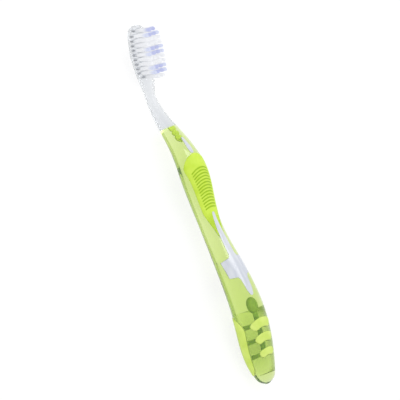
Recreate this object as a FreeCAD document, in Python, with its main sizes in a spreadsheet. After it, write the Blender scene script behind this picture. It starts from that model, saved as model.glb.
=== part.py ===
import FreeCAD, Part
import os
import re
import Sketcher
from math import acos, cos, pi, sin
from FreeCAD import Placement, Rotation, Vector

# Manual toothbrush lying on its back, bristles up. X runs from the tail to the head, Z is up.
# Millimetres. A clear core carries the tufts, a green handle is moulded over the core, and soft
# grips are moulded into the handle.

ROW_COUNT = 11
RIB_COUNT = 14
RINGS = ("tip", "nose", "cap", "pad", "swell", "belly", "waist", "thumb", "shoulder", "collar",
         "neck", "heel")
LOBES = ("lobe_one", "lobe_two", "lobe_three")

# Driving dimensions
SIZES = {
    # Rings of the outer form: run from the ring before, centre height, half thickness, and how much
    # larger than that the half width is
    "tip_height": 5.3,
    "tip_half_thick": 1.3,
    "tip_widen": 0.3,
    "nose_run": 1.1,
    "nose_height": 5.4,
    "nose_half_thick": 2.9,
    "nose_widen": 0.6,
    "cap_run": 3.1,
    "cap_height": 5.7,
    "cap_half_thick": 4.7,
    "cap_widen": 0.9,
    "pad_run": 8.3,
    "pad_height": 6.8,
    "pad_half_thick": 6.5,
    "pad_widen": 1.3,
    "swell_run": 21.5,
    "swell_height": 11.2,
    "swell_half_thick": 7.4,
    "swell_widen": 1.4,
    "belly_run": 26.0,
    "belly_height": 11.0,
    "belly_half_thick": 6.1,
    "belly_widen": 1.2,
    "waist_run": 26.0,
    "waist_height": 9.3,
    "waist_half_thick": 5.0,
    "waist_widen": 1.0,
    "thumb_run": 22.0,
    "thumb_height": 11.8,
    "thumb_half_thick": 6.3,
    "thumb_widen": 1.2,
    "shoulder_run": 12.0,
    "shoulder_height": 10.9,
    "shoulder_half_thick": 5.3,
    "shoulder_widen": 1.1,
    "collar_run": 13.0,
    "collar_height": 6.6,
    "collar_half_thick": 3.85,
    "collar_widen": 0.8,
    "neck_run": 15.0,
    "neck_height": 2.95,
    "neck_half_thick": 2.4,
    "neck_widen": 0.5,
    "heel_run": 9.0,
    "heel_height": 4.3,
    "heel_half_thick": 2.2,
    "heel_widen": 0.9,
    # Head and tuft field
    "head_tilt": 15.0,
    "head_thickness": 4.5,
    "head_heel_radius": 1.6,
    "head_heel_back": 6.8,
    "head_back_round": 1.6,
    "head_front_round": 0.6,
    "row_pitch": 2.29,
    "inner_column": 1.35,
    "outer_column": 4.05,
    "column_bow": 0.7,
    "tip_margin": 2.5,
    "heel_margin": 4.25,
    "side_wall": 1.1,
    "end_wall": 0.7,
    "tuft_root_radius": 0.85,
    "tuft_flare": 0.11,
    "tuft_root_depth": 3.0,
    "tuft_free_length": 10.0,
    "anchor_thick": 0.3,
    "anchor_rise": 1.5,
    "anchor_lift": 0.5,
    "anchor_bite": 0.2,
    # Core inside the handle
    "skin_thick": 1.8,
    "core_tail": 5.1,
    "window_ahead": 1.5,
    "window_half_length": 5.4,
    "window_half_width": 7.0,
    "window_arc_radius": 20.0,
    "key_length": 7.5,
    "key_half_width": 1.5,
    "key_tooth": 0.5,
    # Soft grips
    "grip_proud": 0.25,
    "grip_depth": 1.2,
    "thumb_pad_ahead": 2.0,
    "thumb_pad_radius": 7.0,
    "thumb_mid_ahead": 2.0,
    "thumb_mid_radius": 4.7,
    "thumb_tail_behind": 11.0,
    "thumb_tail_radius": 1.6,
    "rib_margin": 1.25,
    "rib_start": 0.6,
    "rib_pitch": 1.5,
    "rib_gap": 0.62,
    "rib_depth": 0.45,
    "rib_arc_radius": 8.0,
    "back_lean": 8.1,
    "back_drop": 5.4,
    "back_front_behind": 5.6,
    "back_front_radius": 8.0,
    "back_tail_behind": 23.2,
    "back_tail_radius": 5.5,
    "lobe_arc_radius": 9.2,
    "lobe_one_behind": 4.7,
    "lobe_one_width": 4.8,
    "lobe_one_half": 6.0,
    "lobe_two_behind": 11.8,
    "lobe_two_width": 4.4,
    "lobe_two_half": 5.2,
    "lobe_three_behind": 19.0,
    "lobe_three_width": 3.8,
    "lobe_three_half": 4.4,
    "runner_depth": 3.2,
    "runner_thick": 1.8,
    "runner_half_width": 1.2,
    "leaf_ahead": 4.4,
    "leaf_half_length": 4.0,
    "leaf_half_width": 2.6,
    "post_radius": 1.0,
}

# Sizes and places that follow from the driving ones. The middle of the whole brush is at X zero.
RULES = {
    "turn_cos": "cos(head_tilt * 1deg)",
    "turn_sin": "sin(head_tilt * 1deg)",
    "head_reach": "heel_margin + %d * row_pitch + tip_margin" % (ROW_COUNT - 1),
    "head_nose": "head_reach * turn_cos + head_back_round * (1 - turn_sin - turn_cos)",
    "ring_reach": " + ".join(name + "_run" for name in RINGS[1:]),
    "tip_at": "-0.5 * (ring_reach + head_nose)",
}
for ring, ring_before in zip(RINGS[1:], RINGS):
    RULES[ring + "_at"] = "%s_at + %s_run" % (ring_before, ring)
RULES.update({
    "clear_of_all": "ring_reach",
    "head_half_width": "outer_column + tuft_root_radius + side_wall",
    "head_end_radius": "outer_column - column_bow + tuft_root_radius + end_wall",
    "head_heel_at": "-head_heel_back",
    "head_rear_at": "heel_margin + row_pitch",
    "head_mid_at": "heel_margin + %d * row_pitch" % (ROW_COUNT // 2),
    "head_tip_at": "head_reach - head_end_radius",
    "head_back_height": "heel_height - 0.5 * head_thickness",
    "anchor_span": "2 * (tuft_root_radius + anchor_bite)",
    "window_at": "belly_at - window_ahead",
    "core_end_at": "window_at - window_half_length - core_tail",
    "core_reach": "collar_at - core_end_at",
    "thumb_pad_at": "thumb_at + thumb_pad_ahead",
    "thumb_mid_at": "waist_at + thumb_mid_ahead",
    "thumb_tail_at": "waist_at - thumb_tail_behind",
    "rib_zone_radius": "thumb_pad_radius - rib_margin",
    "rib_mid_radius": "thumb_mid_radius - rib_margin",
    "rib_tail_radius": "thumb_tail_radius - rib_margin",
    "back_front_along": "-back_front_behind",
    "back_tail_along": "-back_tail_behind",
    "lobe_base": "0.5 * (pad_height + swell_height)",
    "runner_base": "0.25 * pad_height + 0.75 * swell_height",
})

doc = FreeCAD.newDocument("toothbrush")
sizes = doc.addObject("Spreadsheet::Sheet", "Sizes")
names = []
for name, value in list(SIZES.items()) + [(name, "=" + rule) for name, rule in RULES.items()]:
    names.append(name)
    sizes.set("A%d" % len(names), name)
    sizes.set("B%d" % len(names), str(value))
    sizes.setAlias("B%d" % len(names), name)
doc.recompute()


def num(name):
    """Return the present value of a named size."""
    return float(sizes.get(name))


def named(rule):
    """Prefix every size in a rule with the sheet's name."""
    def prefix(match):
        word = match.group()
        return "Sizes." + word if word in names else word
    return re.sub(r"[A-Za-z_]\w*", prefix, rule)


def place(piece, x="0", y="0", z="0"):
    """Bind the position of a piece."""
    piece.setExpression("Placement.Base.x", named(x))
    piece.setExpression("Placement.Base.y", named(y))
    piece.setExpression("Placement.Base.z", named(z))


def solid(kind, name, **rules):
    """Add a primitive with its dimensions bound to the sheet."""
    piece = doc.addObject("Part::" + kind, name)
    for prop, rule in rules.items():
        piece.setExpression(prop, named(rule))
    return piece


def cut(name, base, tool):
    """Take one shape out of another."""
    piece = doc.addObject("Part::Cut", name)
    piece.Base = base
    piece.Tool = tool
    return piece


def common(name, base, tool):
    """Keep what two shapes share."""
    piece = doc.addObject("Part::Common", name)
    piece.Base = base
    piece.Tool = tool
    return piece


def fuse(name, shapes):
    """Join shapes to one."""
    piece = doc.addObject("Part::MultiFuse", name)
    piece.Shapes = shapes
    return piece


def group(name, shapes):
    """Hold separate solids together."""
    piece = doc.addObject("Part::Compound", name)
    piece.Links = shapes
    return piece


def prism(name, outline, depth, toward=Vector(0, 0, 1)):
    """Raise an outline by a bound depth, straight up unless told otherwise."""
    piece = doc.addObject("Part::Extrusion", name)
    piece.Base = outline
    piece.DirMode = "Custom"
    piece.Dir = toward
    piece.Solid = True
    piece.setExpression("LengthFwd", named(depth))
    return piece


def hull_outline(sketch, circles):
    """Draw the tight outline round circles along the X axis, given as pairs of size names."""
    centres = [num(circle[0]) for circle in circles]
    radii = [num(circle[1]) for circle in circles]
    last = len(circles) - 1
    lean = []
    for k in range(last):
        lean.append(acos((radii[k] - radii[k + 1]) / (centres[k + 1] - centres[k])))

    def arc(k, start, end):
        circle = Part.Circle(Vector(centres[k], 0, 0), Vector(0, 0, 1), radii[k])
        return sketch.addGeometry(Part.ArcOfCircle(circle, start, end), False)

    def line(k, side):
        normal = Vector(cos(lean[k]), side * sin(lean[k]), 0)
        start = Vector(centres[k], 0, 0) + normal * radii[k]
        end = Vector(centres[k + 1], 0, 0) + normal * radii[k + 1]
        return sketch.addGeometry(Part.LineSegment(start, end), False)

    def touch(one, one_end, two, two_end):
        sketch.addConstraint(Sketcher.Constraint("Tangent", one, one_end, two, two_end))

    def drive(constraint, size_name):
        index = sketch.addConstraint(constraint)
        sketch.setExpression("Constraints[%d]" % index, named(size_name))

    first_arc = arc(0, lean[0], 2 * pi - lean[0])
    last_arc = arc(last, -lean[-1], lean[-1])
    upper = [line(k, 1) for k in range(last)]
    lower = [line(k, -1) for k in range(last)]
    arcs = [(0, first_arc), (last, last_arc)]
    touch(upper[0], 1, first_arc, 1)
    touch(lower[0], 1, first_arc, 2)
    touch(upper[-1], 2, last_arc, 2)
    touch(lower[-1], 2, last_arc, 1)
    for k in range(1, last):
        top = arc(k, lean[k], lean[k - 1])
        bottom = arc(k, -lean[k - 1], -lean[k])
        touch(upper[k], 1, top, 1)
        touch(upper[k - 1], 2, top, 2)
        touch(lower[k], 1, bottom, 2)
        touch(lower[k - 1], 2, bottom, 1)
        arcs += [(k, top), (k, bottom)]
    for k, piece in arcs:
        sketch.addConstraint(Sketcher.Constraint("PointOnObject", piece, 3, -1))
        drive(Sketcher.Constraint("DistanceX", -1, 1, piece, 3, centres[k]), circles[k][0])
        drive(Sketcher.Constraint("Radius", piece, radii[k]), circles[k][1])


# Outer form, lofted through the rings, and the same form grown or shrunk for the layers under it
ring_turn = Rotation(Vector(1, 1, 1), 120)


def skin(name, grow, first, last):
    """Loft through the rings from first to last, each grown by a rule."""
    sections = []
    for station in RINGS[RINGS.index(first):RINGS.index(last) + 1]:
        section = doc.addObject("Part::Ellipse", name + "_" + station)
        section.Placement = Placement(Vector(), ring_turn)
        thick = "%s_half_thick %s" % (station, grow)
        section.setExpression("MinorRadius", named(thick))
        section.setExpression("MajorRadius", named("%s + %s_widen" % (thick, station)))
        place(section, x=station + "_at", z=station + "_height")
        sections.append(section)
    loft = doc.addObject("Part::Loft", name)
    loft.Sections = sections
    loft.Solid = True
    loft.Ruled = False
    loft.MaxDegree = 3
    return loft


envelope = skin("envelope", "", "tip", "heel")
grip_skin = skin("grip_skin", "+ grip_proud", "tip", "heel")
grip_floor = skin("grip_floor", "- grip_depth", "nose", "heel")
rib_floor = skin("rib_floor", "+ grip_proud - rib_depth", "tip", "heel")
runner_top = skin("runner_top", "- runner_depth", "pad", "belly")
runner_floor = skin("runner_floor", "- runner_depth - runner_thick", "pad", "belly")
core_skin = skin("core_skin", "- skin_thick", "pad", "collar")

collar_block = solid("Box", "collar_block", Length="clear_of_all", Width="2 * clear_of_all",
                     Height="2 * clear_of_all")
place(collar_block, "collar_at", "-clear_of_all", "-clear_of_all")
handle_blank = cut("handle_blank", envelope, collar_block)
neck_blank = common("neck_blank", envelope, collar_block)

# Head plate in its own tilted frame, back face down
tilt = Rotation(Vector(0, -1, 0), num("head_tilt"))


def on_head(piece, along="0", across="0", above="0"):
    """Place a piece in the frame of the head: along it, across it and above its back face."""
    piece.Placement = Placement(Vector(), tilt)
    piece.setExpression("Placement.Rotation.Angle", named("head_tilt"))
    place(piece,
          "heel_at + (%s) * turn_cos - (%s) * turn_sin" % (along, above),
          across,
          "head_back_height + (%s) * turn_sin + (%s) * turn_cos" % (along, above))


def flat_edges(feature, level):
    """Name the edges of a feature that lie flat at one height."""
    found = []
    for k, edge in enumerate(feature.Shape.Edges):
        box = edge.BoundBox
        if abs(box.ZMin - level) < 0.01 and abs(box.ZMax - level) < 0.01:
            found.append("Edge%d" % (k + 1))
    return found


head_plate = doc.addObject("PartDesign::Body", "head_plate")
head_outline = head_plate.newObject("Sketcher::SketchObject", "head_outline")
flat_plane = [plane for plane in head_plate.Origin.OriginFeatures if plane.Role == "XY_Plane"][0]
head_outline.AttachmentSupport = [(flat_plane, "")]
head_outline.MapMode = "FlatFace"
hull_outline(head_outline, [("head_heel_at", "head_heel_radius"),
                            ("head_rear_at", "head_end_radius"),
                            ("head_mid_at", "head_half_width"),
                            ("head_tip_at", "head_end_radius")])
head_pad = head_plate.newObject("PartDesign::Pad", "head_pad")
head_pad.Profile = head_outline
head_pad.setExpression("Length", named("head_thickness"))
doc.recompute()
back_round = head_plate.newObject("PartDesign::Fillet", "back_round")
back_round.Base = (head_pad, flat_edges(head_pad, 0))
back_round.setExpression("Radius", named("head_back_round"))
doc.recompute()
front_round = head_plate.newObject("PartDesign::Fillet", "front_round")
front_round.Base = (back_round, flat_edges(back_round, num("head_thickness")))
front_round.setExpression("Radius", named("head_front_round"))
on_head(head_plate)

# Core rod under the handle skin, with a window island that reaches the surface
core_span = solid("Box", "core_span", Length="core_reach", Width="2 * clear_of_all",
                  Height="2 * clear_of_all")
place(core_span, "core_end_at", "-clear_of_all", "-clear_of_all")
core_rod = common("core_rod", core_skin, core_span)
window_tail = solid("Cylinder", "window_tail", Radius="window_arc_radius", Height="clear_of_all")
place(window_tail, "window_at + window_arc_radius - window_half_length", z="belly_height")
window_head = solid("Cylinder", "window_head", Radius="window_arc_radius", Height="clear_of_all")
place(window_head, "window_at - window_arc_radius + window_half_length", z="belly_height")
window_slab = solid("Box", "window_slab", Length="clear_of_all", Width="2 * window_half_width",
                    Height="clear_of_all")
place(window_slab, "window_at - 0.5 * clear_of_all", "-window_half_width", "belly_height")
window_lens = common("window_lens", window_tail, window_head)
window_prism = common("window_prism", window_lens, window_slab)
window_island = common("window_island", handle_blank, window_prism)
core_blank = fuse("core_blank", [neck_blank, core_rod, window_island, head_plate])

# Key slot through the core just behind the collar, pointed at its end, with teeth on both sides
key_bar = solid("Box", "key_bar", Length="key_length", Width="2 * key_half_width",
                Height="2 * clear_of_all")
place(key_bar, "collar_at - key_length", "-key_half_width", "-clear_of_all")


def diamond(name, half_size, x, y):
    """Add a square column on its corner, centred at x and y."""
    piece = solid("Box", name, Length="sqrt(2) * " + half_size, Width="sqrt(2) * " + half_size,
                  Height="2 * clear_of_all")
    piece.Placement = Placement(Vector(), Rotation(Vector(0, 0, 1), 45))
    place(piece, x, "%s - %s" % (y, half_size), "-clear_of_all")
    return piece


key_point = diamond("key_point", "key_half_width", "collar_at - key_length", "0")
key_outer = fuse("key_outer", [key_bar, key_point])
teeth = []
for k in (1, 2):
    tooth_at = "collar_at - %d * key_length / 3" % k
    teeth.append(diamond("key_tooth_left_%d" % k, "key_tooth", tooth_at, "key_half_width"))
    teeth.append(diamond("key_tooth_right_%d" % k, "key_tooth", tooth_at, "-key_half_width"))
key_teeth = group("key_teeth", teeth)
key_slot = cut("key_slot", key_outer, key_teeth)
core_keyed = cut("core_keyed", core_blank, key_slot)

# Tufts folded round flat anchors in blind holes. Each anchor cuts its own slit down the hole.
hole_bore = solid("Cylinder", "hole_bore", Radius="tuft_root_radius", Height="2 * tuft_root_depth")
hole_slit = solid("Box", "hole_slit", Length="anchor_thick", Width="anchor_span",
                  Height="2 * tuft_root_depth")
place(hole_slit, "-0.5 * anchor_thick", "-0.5 * anchor_span", "anchor_lift")
tuft_root = solid("Cylinder", "tuft_root", Radius="tuft_root_radius", Height="tuft_root_depth")
tuft_free = solid("Cone", "tuft_free", Radius1="tuft_root_radius", Radius2="tuft_root_radius + tuft_flare",
                  Height="tuft_free_length")
place(tuft_free, z="tuft_root_depth")
tuft_blank = fuse("tuft_blank", [tuft_root, tuft_free])
anchor_gap = solid("Box", "anchor_gap", Length="anchor_thick", Width="anchor_span",
                   Height="anchor_rise")
place(anchor_gap, "-0.5 * anchor_thick", "-0.5 * anchor_span", "anchor_lift")
COLUMNS = (
    ("outer_left", 1),
    ("inner_left", 1),
    ("inner_right", -1),
    ("outer_right", -1),
)
MIDDLE_ROW = (ROW_COUNT + 1) // 2
hole_floor = "head_thickness - tuft_root_depth"
tufts = []
holes = []
anchors = []
for row in range(1, ROW_COUNT + 1):
    along = "head_reach - tip_margin - %d * row_pitch" % (row - 1)
    bow = ((row - MIDDLE_ROW) / (MIDDLE_ROW - 2)) ** 2
    for column, side in COLUMNS:
        if column.startswith("inner"):
            across = "%d * inner_column" % side
        elif row in (1, ROW_COUNT):
            continue
        else:
            across = "%d * (outer_column - %.4f * column_bow)" % (side, bow)
        spot = "%02d_%s" % (row, column)
        hole = fuse("hole_" + spot, [hole_bore, hole_slit])
        on_head(hole, along, across, hole_floor)
        holes.append(hole)
        tuft = cut("tuft_" + spot, tuft_blank, anchor_gap)
        on_head(tuft, along, across, hole_floor)
        tufts.append(tuft)
        anchor = solid("Box", "anchor_" + spot, Length="anchor_thick", Width="anchor_span",
                       Height="anchor_rise")
        on_head(anchor, along + " - 0.5 * anchor_thick", across + " - 0.5 * anchor_span",
                hole_floor + " + anchor_lift")
        anchors.append(anchor)
tuft_holes = group("tuft_holes", holes)
head_and_neck = cut("head_and_neck", core_keyed, tuft_holes)
tuft_anchors = group("tuft_anchors", anchors)

# Thumb grip with arched ribs
thumb_outline = doc.addObject("Sketcher::SketchObject", "thumb_outline")
hull_outline(thumb_outline, [("thumb_tail_at", "thumb_tail_radius"),
                             ("thumb_mid_at", "thumb_mid_radius"),
                             ("thumb_pad_at", "thumb_pad_radius")])
place(thumb_outline, z="thumb_height")
thumb_prism = prism("thumb_prism", thumb_outline, "clear_of_all")
thumb_shell = common("thumb_shell", grip_skin, thumb_prism)
thumb_pad = cut("thumb_pad", thumb_shell, grip_floor)
rib_outline = doc.addObject("Sketcher::SketchObject", "rib_outline")
hull_outline(rib_outline, [("thumb_tail_at", "rib_tail_radius"),
                           ("thumb_mid_at", "rib_mid_radius"),
                           ("thumb_pad_at", "rib_zone_radius")])
place(rib_outline, z="thumb_height")
rib_prism = prism("rib_prism", rib_outline, "clear_of_all")
groove_outer = solid("Cylinder", "groove_outer", Radius="rib_arc_radius + 0.5 * rib_gap",
                     Height="clear_of_all")
groove_outer.Angle = 160
groove_outer.Placement = Placement(Vector(), Rotation(Vector(0, 0, 1), -80))
groove_inner = solid("Cylinder", "groove_inner", Radius="rib_arc_radius - 0.5 * rib_gap",
                     Height="clear_of_all")
grooves = []
for k in range(RIB_COUNT):
    groove = cut("groove_%02d" % (k + 1), groove_outer, groove_inner)
    place(groove, "thumb_pad_at - rib_start - rib_arc_radius - %d * rib_pitch" % k,
          z="thumb_height")
    grooves.append(groove)
groove_field = common("groove_field", group("groove_set", grooves), rib_prism)
groove_cut = cut("groove_cut", groove_field, rib_floor)
thumb_grip = cut("thumb_grip", thumb_pad, groove_cut)

# Back grip at the tail, a leaning oval seen from the side that wraps the back from side to side
back_outline = doc.addObject("Sketcher::SketchObject", "back_outline")
hull_outline(back_outline, [("back_tail_along", "back_tail_radius"),
                            ("back_front_along", "back_front_radius")])
back_place = "vector(swell_at; clear_of_all; swell_height - back_drop)"
back_turn = "rotation(vector(0; -1; 0); back_lean * 1deg) * rotation(vector(1; 0; 0); 90deg)"
back_outline.setExpression("Placement", named("placement(%s; %s)" % (back_place, back_turn)))
back_prism = prism("back_prism", back_outline, "2 * clear_of_all", Vector(0, -1, 0))
back_shell = common("back_shell", grip_skin, back_prism)
tail_back_grip = cut("tail_back_grip", back_shell, grip_floor)


# Front grip at the tail: three arched lobes on posts, and a runner through the posts that ends in a leaf
def lobe(name):
    """Build one arched lobe with round ends."""
    turn = "asin((%s_half - 0.5 * %s_width) / lobe_arc_radius)" % (name, name)
    centre = "swell_at - %s_behind - lobe_arc_radius" % name
    outer = solid("Cylinder", name + "_outer", Radius="lobe_arc_radius + 0.5 * %s_width" % name,
                  Height="clear_of_all", Angle="2 * " + turn)
    outer.Placement = Placement(Vector(), Rotation(Vector(0, 0, -1), 40))
    outer.setExpression("Placement.Rotation.Angle", named(turn))
    place(outer, centre, z="lobe_base")
    inner = solid("Cylinder", name + "_inner", Radius="lobe_arc_radius - 0.5 * %s_width" % name,
                  Height="clear_of_all")
    place(inner, centre, z="lobe_base")
    ends = []
    for side, sign in (("left", ""), ("right", "-")):
        end = solid("Cylinder", "%s_%s" % (name, side), Radius="0.5 * %s_width" % name,
                    Height="clear_of_all")
        place(end, "%s + lobe_arc_radius * cos(%s)" % (centre, turn),
              "%slobe_arc_radius * sin(%s)" % (sign, turn), "lobe_base")
        ends.append(end)
    outline = fuse(name + "_prism", [cut(name + "_band", outer, inner)] + ends)
    return cut(name, common(name + "_shell", grip_skin, outline), grip_floor)


lobes = [lobe(name) for name in LOBES]
leaf_ring = doc.addObject("Part::Ellipse", "leaf_ring")
leaf_ring.setExpression("MajorRadius", named("leaf_half_length"))
leaf_ring.setExpression("MinorRadius", named("min(leaf_half_width; leaf_half_length)"))
place(leaf_ring, "swell_at + leaf_ahead", z="runner_base")
leaf_prism = prism("leaf_prism", leaf_ring, "clear_of_all")
stem_prism = solid("Box", "stem_prism", Length="leaf_ahead + lobe_three_behind",
                   Width="2 * runner_half_width", Height="clear_of_all")
place(stem_prism, "swell_at - lobe_three_behind", "-runner_half_width", "runner_base")
runner_layer = cut("runner_layer", runner_top, runner_floor)
runner = common("runner", runner_layer, fuse("runner_prism", [leaf_prism, stem_prism]))
posts = []
for lobe_name in LOBES:
    post_bar = solid("Cylinder", lobe_name + "_bar", Radius="post_radius", Height="2 * clear_of_all")
    place(post_bar, "swell_at - %s_behind" % lobe_name, z="-clear_of_all")
    posts.append(common(lobe_name + "_post", post_bar, grip_floor))
tail_front_grip = fuse("tail_front_grip", lobes + [runner] + posts)

# Handle moulded over the core and round the grips
over_core = cut("over_core", handle_blank, core_keyed)
over_thumb = cut("over_thumb", over_core, thumb_pad)
over_back = cut("over_back", over_thumb, tail_back_grip)
handle_body = cut("handle_body", over_back, tail_front_grip)

doc.recompute()

pieces = [head_and_neck, handle_body, thumb_grip, tail_front_grip, tail_back_grip, tuft_anchors]
pieces += tufts
for piece in doc.Objects:
    if "Invalid" in piece.State or "Error" in piece.State:
        raise RuntimeError("%s did not build: %s" % (piece.Name, piece.State))
for piece in pieces:
    if piece.Shape.isNull() or not piece.Shape.isValid():
        raise RuntimeError("%s has no valid shape" % piece.Name)
    print(piece.Label, len(piece.Shape.Solids), "solids", round(piece.Shape.Volume, 2))

os.makedirs("parts", exist_ok=True)
for piece in pieces:
    piece.Shape.exportStep("parts/%s.step" % piece.Label)
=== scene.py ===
import math
import random

import bmesh
import bpy
import numpy as np
from mathutils import Matrix, Vector


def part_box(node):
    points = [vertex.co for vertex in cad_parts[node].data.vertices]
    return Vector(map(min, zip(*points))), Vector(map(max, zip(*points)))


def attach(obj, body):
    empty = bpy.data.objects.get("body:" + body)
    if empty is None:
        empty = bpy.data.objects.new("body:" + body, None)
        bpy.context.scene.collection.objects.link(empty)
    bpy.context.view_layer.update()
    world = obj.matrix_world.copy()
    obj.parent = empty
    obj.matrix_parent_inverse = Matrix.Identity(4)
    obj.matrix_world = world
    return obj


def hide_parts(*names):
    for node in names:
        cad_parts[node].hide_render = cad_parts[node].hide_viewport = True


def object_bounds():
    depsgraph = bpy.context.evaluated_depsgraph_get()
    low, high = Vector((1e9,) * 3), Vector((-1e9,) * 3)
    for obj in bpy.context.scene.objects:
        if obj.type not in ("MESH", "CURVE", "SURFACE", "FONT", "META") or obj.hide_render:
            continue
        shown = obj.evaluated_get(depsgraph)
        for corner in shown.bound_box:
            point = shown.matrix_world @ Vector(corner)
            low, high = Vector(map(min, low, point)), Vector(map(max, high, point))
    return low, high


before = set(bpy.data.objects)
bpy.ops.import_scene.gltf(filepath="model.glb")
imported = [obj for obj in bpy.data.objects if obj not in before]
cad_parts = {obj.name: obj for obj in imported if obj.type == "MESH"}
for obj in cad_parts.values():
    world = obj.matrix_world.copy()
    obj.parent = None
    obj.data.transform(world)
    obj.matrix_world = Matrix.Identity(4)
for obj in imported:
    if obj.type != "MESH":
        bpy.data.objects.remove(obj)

# A manual toothbrush that lies on its back with the bristles up. X runs from the tail to the head.
# Sizes are in millimetres, and MM brings them into the metres of the frame.
MM = 0.001
BODY = "root"
cad_low, cad_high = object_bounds()
TAIL_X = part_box("handle_body")[0].x / MM

# Rings of the handle and neck: run from the ring before, centre height, half thickness, half width
RINGS = (
    (0.0, 5.3, 1.3, 1.6),
    (1.1, 5.4, 2.9, 3.5),
    (3.1, 5.7, 4.7, 5.6),
    (8.3, 6.8, 6.5, 7.8),
    (21.5, 11.2, 7.4, 8.8),
    (26.0, 11.0, 6.1, 7.3),
    (26.0, 9.3, 5.0, 6.0),
    (22.0, 11.8, 6.3, 7.5),
    (12.0, 10.9, 5.3, 6.4),
    (13.0, 6.6, 3.85, 4.65),
    (15.0, 2.95, 2.4, 2.9),
    (9.0, 4.3, 2.2, 3.1),
)
RING_AT = TAIL_X + np.cumsum([ring[0] for ring in RINGS])
SWELL_RING = 4
SWELL, BELLY, WAIST, THUMB, COLLAR, HEEL = (RING_AT[k] for k in (SWELL_RING, 5, 6, 7, 9, 11))

# Head plate, in its own frame: along from the heel, across, and above the back face
HEAD_TILT = math.radians(15.0)
HEAD_BACK = 2.05
HEAD_THICK = 4.5
HEAD_CIRCLES = ((-6.8, 1.6), (6.54, 4.9), (15.70, 6.0), (24.75, 4.9))
BACK_ROUND = 1.6
FRONT_ROUND = 0.6
FIRST_ROW_AT = 27.15
ROW_PITCH = 2.29
ROW_COUNT = 11
INNER_COLUMN = 1.35
OUTER_COLUMN = 4.05
COLUMN_BOW = 0.7
ROOT_FLOOR = 1.5
TUFT_TOP = 14.5
TUFT_ROOT_RADIUS = 0.85
TUFT_END_RADIUS = 0.96
ANCHOR_CLEAR = 0.28
BLUE_ROWS = (1, 2, 5, 6, 9, 10)

# Soft grips
GRIP_PROUD = 0.25
GRIP_DEPTH = 1.2


def cubic(knots, values):
    """Return a cubic spline through the values, with smooth ends."""
    knots = np.asarray(knots, float)
    values = np.asarray(values, float)
    gap = np.diff(knots)
    count = len(knots)
    matrix = np.zeros((count, count))
    right = np.zeros(count)
    for k in range(1, count - 1):
        matrix[k, k - 1:k + 2] = gap[k - 1], 2 * (gap[k - 1] + gap[k]), gap[k]
        right[k] = 6 * ((values[k + 1] - values[k]) / gap[k] - (values[k] - values[k - 1]) / gap[k - 1])
    matrix[0, :3] = gap[1], -(gap[0] + gap[1]), gap[0]
    matrix[-1, -3:] = gap[-1], -(gap[-2] + gap[-1]), gap[-2]
    bend = np.linalg.solve(matrix, right)

    def value(at):
        at = np.asarray(at, float)
        k = np.clip(np.searchsorted(knots, at) - 1, 0, count - 2)
        step = at - knots[k]
        slope = (values[k + 1] - values[k]) / gap[k] - gap[k] * (2 * bend[k] + bend[k + 1]) / 6
        twist = (bend[k + 1] - bend[k]) / (6 * gap[k])
        return values[k] + step * (slope + step * (bend[k] / 2 + step * twist))

    return value


ring_height = cubic(RING_AT, [ring[1] for ring in RINGS])
ring_thick = cubic(RING_AT, [ring[2] for ring in RINGS])
ring_width = cubic(RING_AT, [ring[3] for ring in RINGS])


def skin_point(x, turn, off=0.0):
    """Points on the handle's form: turn goes round from the top, off is the distance outside it."""
    x, turn, off = np.broadcast_arrays(np.asarray(x, float), turn, off)
    y = (ring_width(x) + off) * np.sin(turn)
    z = ring_height(x) + (ring_thick(x) + off) * np.cos(turn)
    return np.stack([x, y, z], axis=-1)


def front_point(x, y, off=0.0):
    """Points on the front of the handle's form at a plan position."""
    x, y, off = np.broadcast_arrays(np.asarray(x, float), y, off)
    turn = np.arcsin(np.clip(y / ring_width(x), -0.98, 0.98))
    return skin_point(x, turn, off)


def head_point(along, across, above):
    """Points in the frame of the head plate, as places in the whole model."""
    along, across, above = np.broadcast_arrays(np.asarray(along, float), across, above)
    x = HEEL + along * math.cos(HEAD_TILT) - above * math.sin(HEAD_TILT)
    z = HEAD_BACK + along * math.sin(HEAD_TILT) + above * math.cos(HEAD_TILT)
    return np.stack([x, across, z], axis=-1)


# Mesh helpers


def store(mesh, name, values):
    """Keep one value for each point of a mesh."""
    mesh.attributes.new(name, "FLOAT", "POINT").data.foreach_set("value", np.ravel(values))


def mesh_from(name, points, faces, stored=None):
    """Make a mesh from points in millimetres, with the values to be stored on its points."""
    mesh = bpy.data.meshes.new(name)
    mesh.from_pydata([Vector(p) * MM for p in np.asarray(points, float).reshape(-1, 3)], [], faces)
    for key, values in (stored or {}).items():
        store(mesh, key, values)
    work = bmesh.new()
    work.from_mesh(mesh)
    bmesh.ops.remove_doubles(work, verts=work.verts, dist=1e-7)
    bmesh.ops.dissolve_degenerate(work, edges=work.edges, dist=1e-7)
    bmesh.ops.recalc_face_normals(work, faces=work.faces)
    work.to_mesh(mesh)
    work.free()
    return mesh


def add_piece(name, mesh, material, nodes=(), sharp=40.0):
    """Put a mesh into the scene as a piece of the brush."""
    piece = bpy.data.objects.new(name, mesh)
    bpy.context.collection.objects.link(piece)
    mesh.materials.clear()
    mesh.materials.append(material)
    mesh.shade_smooth()
    mesh.set_sharp_from_angle(angle=math.radians(sharp))
    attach(piece, BODY)
    if nodes:
        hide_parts(*nodes)
    return piece


def tube_faces(rows, columns, start=0):
    """Faces of a tube of closed rings, with both ends closed."""
    faces = []
    for i in range(rows - 1):
        for j in range(columns):
            k = (j + 1) % columns
            faces.append((start + i * columns + j, start + i * columns + k,
                          start + (i + 1) * columns + k, start + (i + 1) * columns + j))
    faces.append(tuple(start + j for j in range(columns))[::-1])
    faces.append(tuple(start + (rows - 1) * columns + j for j in range(columns)))
    return faces


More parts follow.
